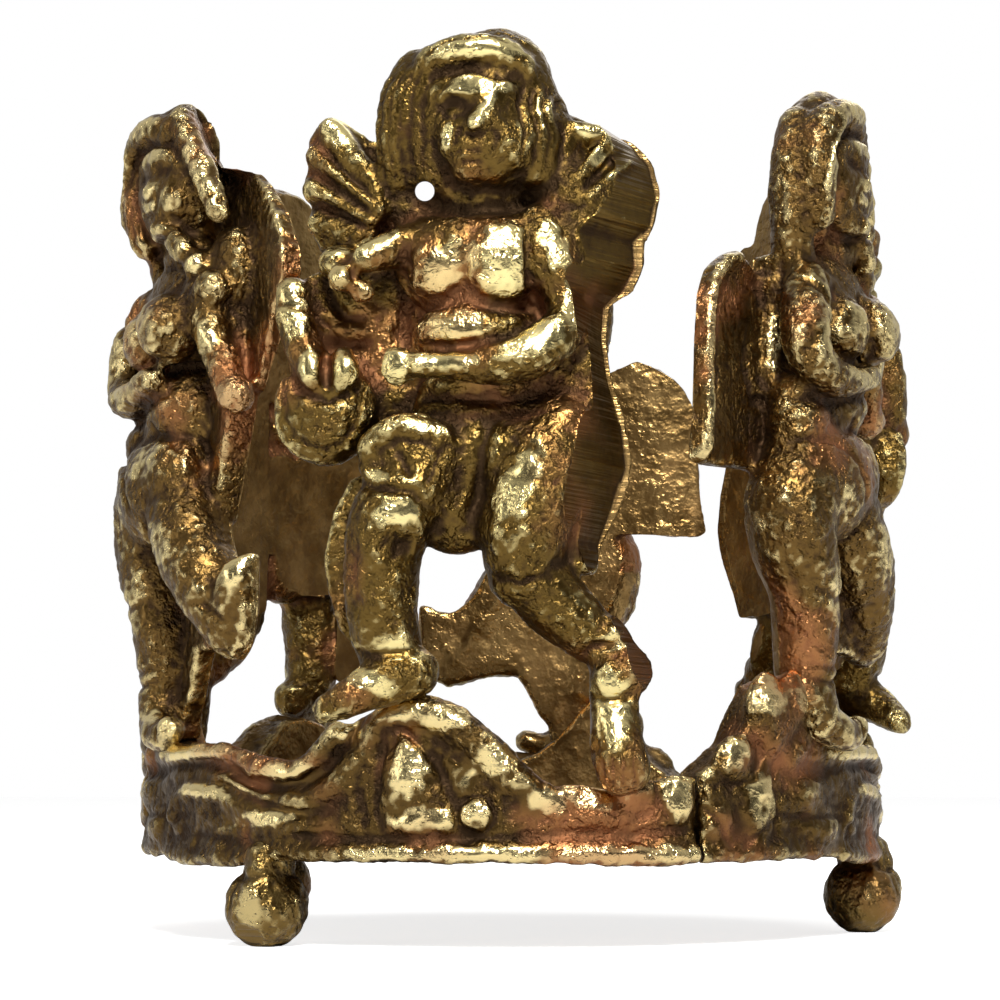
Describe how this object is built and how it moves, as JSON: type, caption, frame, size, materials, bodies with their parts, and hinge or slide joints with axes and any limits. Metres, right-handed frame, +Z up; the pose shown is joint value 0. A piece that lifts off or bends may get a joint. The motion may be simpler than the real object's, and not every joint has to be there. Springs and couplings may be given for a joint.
{
  "type": "candle holder",
  "caption": "Cast brass openwork candle holder: a ring of winged cherubs with lute and pipe on a rocky scrolled band, ball feet and a shallow pan.",
  "frame": {"origin": "middle of the bounding box, on the ground plane under the ball feet", "axes": "+Z up; -Y is the front, faced by the first lute player; +X to the viewer's right"},
  "size_m": [0.0692, 0.0712, 0.0692],
  "materials": {
    "figure_brass": "worn cast brass, bright on the high points and dark in the hollows",
    "base_brass": "worn cast brass, pitted, olive brown in the hollows",
    "foot_brass": "worn cast brass with a filed flat",
    "pan_brass": "dull turned brass"
  },
  "bodies": {
    "root": {"base_section_1": "base_brass", "lute_cherub_1": "figure_brass", "piper_cherub_1": "figure_brass", "ball_foot_1": "foot_brass", "base_section_2": "base_brass", "lute_cherub_2": "figure_brass", "piper_cherub_2": "figure_brass", "ball_foot_2": "foot_brass", "base_section_3": "base_brass", "lute_cherub_3": "figure_brass", "piper_cherub_3": "figure_brass", "ball_foot_3": "foot_brass", "candle_pan": "pan_brass"}
  },
  "joints": []
}
